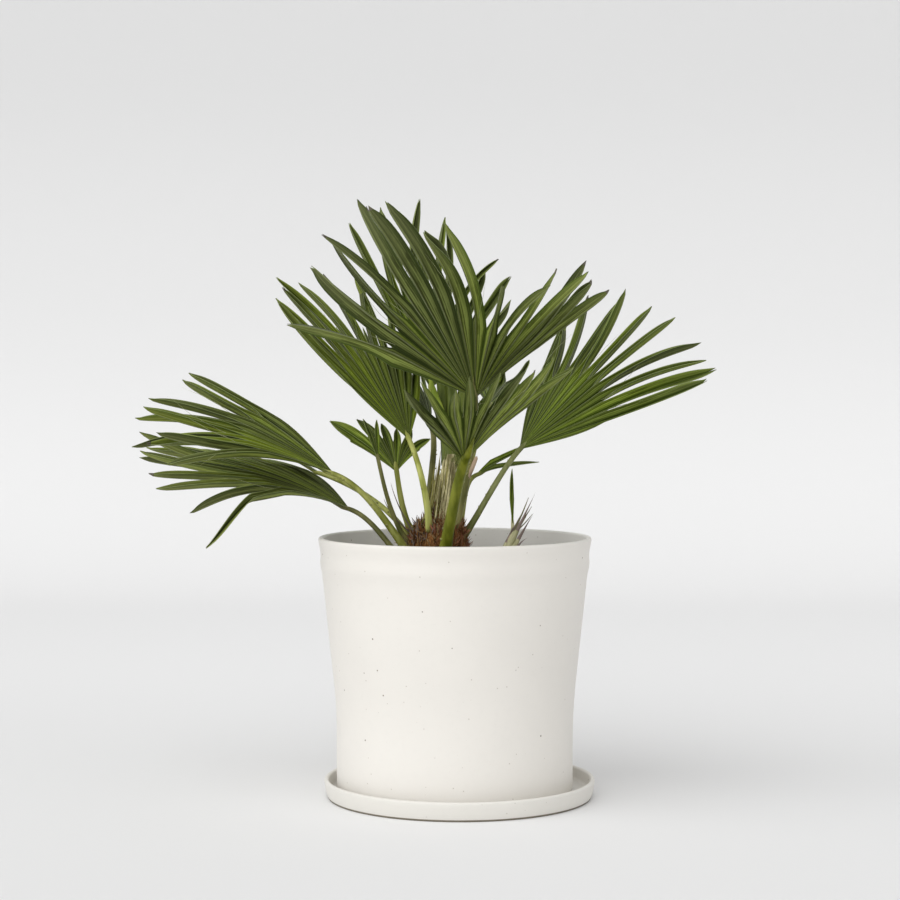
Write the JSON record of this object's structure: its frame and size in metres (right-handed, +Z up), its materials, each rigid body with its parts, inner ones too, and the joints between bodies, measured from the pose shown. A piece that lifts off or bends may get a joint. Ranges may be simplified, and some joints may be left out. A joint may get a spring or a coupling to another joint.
{
  "type": "potted european fan palm",
  "caption": "Dwarf European fan palm with pleated green fan leaves on spiny stalks, a short fibrous trunk and an offshoot, in a speckled off-white stoneware pot on its saucer.",
  "frame": {"origin": "on the surface the saucer stands on, under the middle of the pot", "axes": "+Z up along the pot's axis, -Y towards the viewer, +X to the viewer's right"},
  "size_m": [0.6329, 0.5485, 0.6612],
  "materials": {
    "stoneware": "matte",
    "soil": "matte",
    "fibre": "matte",
    "stalk": "satin",
    "blade": "satin"
  },
  "bodies": {
    "root": {"saucer": "stoneware", "pot": "stoneware", "potting_soil": "soil", "trunk": "fibre", "stalk_upper_front": "stalk", "stalk_front": "stalk", "stalk_right": "stalk", "stalk_upper_left": "stalk", "stalk_upper_back": "stalk", "stalk_left": "stalk", "stalk_low_left": "stalk", "stalk_inner_left": "stalk", "stalk_small_left": "stalk", "stalk_bud_left": "stalk", "stalk_low_right": "stalk", "stalk_back_right": "stalk", "stalk_back_left": "stalk", "stalk_back": "stalk", "stalk_offshoot": "stalk", "stalk_offshoot_spear": "stalk", "blade_upper_front": "blade", "blade_front": "blade", "blade_right": "blade", "blade_upper_left": "blade", "blade_upper_back": "blade", "blade_left": "blade", "blade_low_left": "blade", "blade_inner_left": "blade", "blade_small_left": "blade", "blade_bud_left": "blade", "blade_low_right": "blade", "blade_back_right": "blade", "blade_back_left": "blade", "blade_back": "blade", "blade_offshoot": "blade", "blade_offshoot_spear": "blade"}
  },
  "joints": []
}
